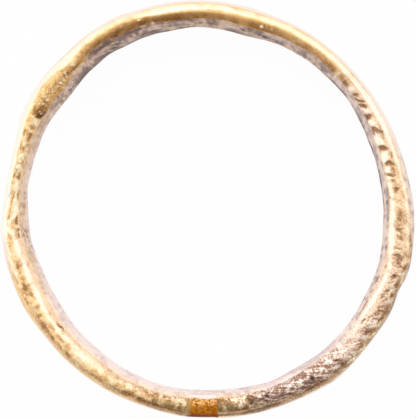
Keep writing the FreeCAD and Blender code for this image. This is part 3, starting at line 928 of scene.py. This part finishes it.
def bronze_finish():
    """Worn metal, brown in its hollows, with painted shade and highlights, and the tarnished inner wall."""
    f = Finish(bpy.data.materials.new("worn_golden_bronze"))
    speck = f.grain(0.09, Detail=2.0)
    grit = (speck - 0.5) * f.mask("rough") * 2.5
    pink = f.mask("pink")
    brown = f.blend(pink, brown_gold, brown_rose)
    metal = f.blend(f.mask("brown") + grit, f.blend(pink, polished_gold, rosy_gold), brown)
    metal = f.blend(f.mask("olive"), metal, olive_gold)
    # Pale worn metal and painted highlights
    metal = f.blend(f.mask("bright") - grit, metal, f.blend(pink, bright_gold, bright_rose))
    # Painted peach reflection on the front shoulder
    metal = f.blend(f.mask("shoulder_sheen"), metal, sheen_peach)
    crumbs = f.grain(0.22, (1, 1, 0.22), Detail=3.0, Roughness=0.6)
    streak = f.ramp(f.mask("streak") + (crumbs - 0.5) * 1.6, 0.0, 1.0)
    crust = f.blend(streak, grey_violet, dry_tan)
    # A painted-light copy of the crust, for where the wall faces the light
    lit_crust = f.blend(streak, f.blend(pink, dry_brown, lit_violet),
                         f.blend(pink, lit_tan, lit_pink))
    crust = f.blend(f.mask("wall_lit"), crust, lit_crust)
    tarnish = f.mask("tarnish")
    colour = f.blend(tarnish, metal, crust)
    # Painted glints and highlights
    colour = f.blend(f.mask("white_highlight"), colour, white_highlight_gold)
    # Grime, and painted shade and shadow
    grime_and_shadow = f.blend((pink - 0.5) * 2 + tarnish, dark_brown, dark_violet)
    colour = f.blend(f.mask("dirt_and_shadow"), colour, grime_and_shadow)
    f.surface(speck, 0.5, **{"Base Color": colour, "Metallic": 1 - 0.75 * tarnish,
                             "Roughness": 0.42 + 0.25 * tarnish})
    return f.owner


orange_braze = (0.6, 0.21, 0.01, 1)
dark_braze = (0.34, 0.11, 0.005, 1)
light_braze = (0.9, 0.52, 0.2, 1)
red_braze = (0.25, 0.042, 0.002, 1)
braze_lip = (0.95, 0.79, 0.73, 1)
brass_smear = (0.46, 0.29, 0.12, 1)


def braze_finish():
    """Dull filler, flecked dark, with a pale inner edge and a red outer one."""
    f = Finish(bpy.data.materials.new("coppery_braze"))
    speck = f.grain(0.12, Detail=3.0)
    grit = (speck - 0.5) * 4
    colour = f.blend(f.ramp(f.mask("mottle") + grit, 0.0, 1.0), orange_braze, dark_braze)
    colour = f.blend(f.mask("light") * f.ramp(grit, 0.6, -0.6), colour, light_braze)
    for mask, coat in (("red", red_braze), ("ragged", brass_smear), ("lip", braze_lip)):
        colour = f.blend(f.mask(mask), colour, coat)
    f.surface(speck, 0.3, **{"Base Color": colour, "Metallic": 0.25, "Roughness": 0.55,
                             "Specular IOR Level": 0.05})
    return f.owner


# Ground
ground_size = 1500
own_white = 0.97              # how much of its white, as it is seen, is its own


def make_ground():
    """White ground. To the camera and in reflections it shines by itself, so the shadow is faint."""
    half = ground_size / 2 * MM
    corners = [(-half, -half, 0), (half, -half, 0), (half, half, 0), (-half, half, 0)]
    data = bpy.data.meshes.new("white_ground")
    data.from_pydata(corners, [], [(0, 1, 2, 3)])
    ground = new_object("white_ground", data)
    f = Finish(bpy.data.materials.new("white_ground"))
    seen = 0
    for ray in ("Is Camera Ray", "Is Glossy Ray", "Is Transmission Ray"):
        seen = seen + f.node("ShaderNodeLightPath", output=ray)
    matte = f.node("ShaderNodeBsdfDiffuse", {}, {"Color": (0.85, 0.85, 0.85, 1)})
    white = f.node("ShaderNodeEmission", {}, {"Color": (1, 1, 1, 1), "Strength": 1.0})
    surface = f.node("ShaderNodeMixShader", {}, {0: seen.held() * own_white, 1: matte, 2: white})
    f.node("ShaderNodeOutputMaterial", {}, {"Surface": surface})
    data.materials.append(f.owner)


# Light
key_direction = 100           # the side of the room that is bright
key_elevation = 55
key_distance = 300
key_size = 90
key_radiance = 3.0
bright_room = (1.16, 1.14, 1.12, 1)
dim_room = (0.34, 0.26, 0.2, 1)
dim_end = -0.86               # cosine to the key side at which the room is dim
bright_start = -0.2           # and at which it is bright


def add_softbox(name, direction, elevation, distance, size, radiance):
    """A square lamp that faces the ring from a direction and an elevation in degrees."""
    data = bpy.data.lights.new(name, "AREA")
    data.shape = "SQUARE"
    data.size = size * MM
    data.energy = radiance * math.pi * (size * MM) ** 2
    lamp = new_object(name, data)
    turn, lift = math.radians(direction), math.radians(elevation)
    way = Vector((math.cos(turn) * math.cos(lift), math.sin(turn) * math.cos(lift), math.sin(lift)))
    lamp.location = way * distance * MM
    lamp.rotation_euler = way.to_track_quat("Z", "Y").to_euler()


def set_light():
    """A bright half of the room on the key side and a dim, warm half facing it."""
    f = Finish(bpy.data.worlds.new("studio"))
    bpy.context.scene.world = f.owner
    turn = math.radians(key_direction)
    way = f.node("ShaderNodeTexCoord", output="Generated")
    side = f.node("ShaderNodeVectorMath", {"operation": "DOT_PRODUCT"},
                  {0: way, 1: (math.cos(turn), math.sin(turn), 0)}, "Value")
    room = f.blend(f.ramp(side, dim_end, bright_start), dim_room, bright_room)
    # Patches a fifth darker and a fifth lighter, for the metal to mirror
    patches = f.node("ShaderNodeTexNoise", {}, {"Vector": way, "Scale": 2.6, "Detail": 2.0})
    patches = f.ramp(patches, 0.3, 0.7) * 0.4 + 0.8
    room = f.node("ShaderNodeVectorMath", {"operation": "SCALE"}, {0: room, "Scale": patches})
    light = f.node("ShaderNodeBackground", {}, {"Color": room, "Strength": 1.0})
    f.node("ShaderNodeOutputWorld", {}, {"Surface": light})
    add_softbox("key_light", key_direction, key_elevation, key_distance, key_size, key_radiance)


set_camera()
make_ground()
set_light()
bpy.context.scene.view_settings.view_transform = "Standard"
skin = Skin()
for work in (hammer, wrinkle, weather, hatch, mark):
    work(skin)
skin.set_shape()
hoop, hoop_points = make_hoop(skin)
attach(hoop, "root")
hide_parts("hoop")
braze = make_braze(skin, hoop_points)
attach(braze, "root")
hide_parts("joint_braze")
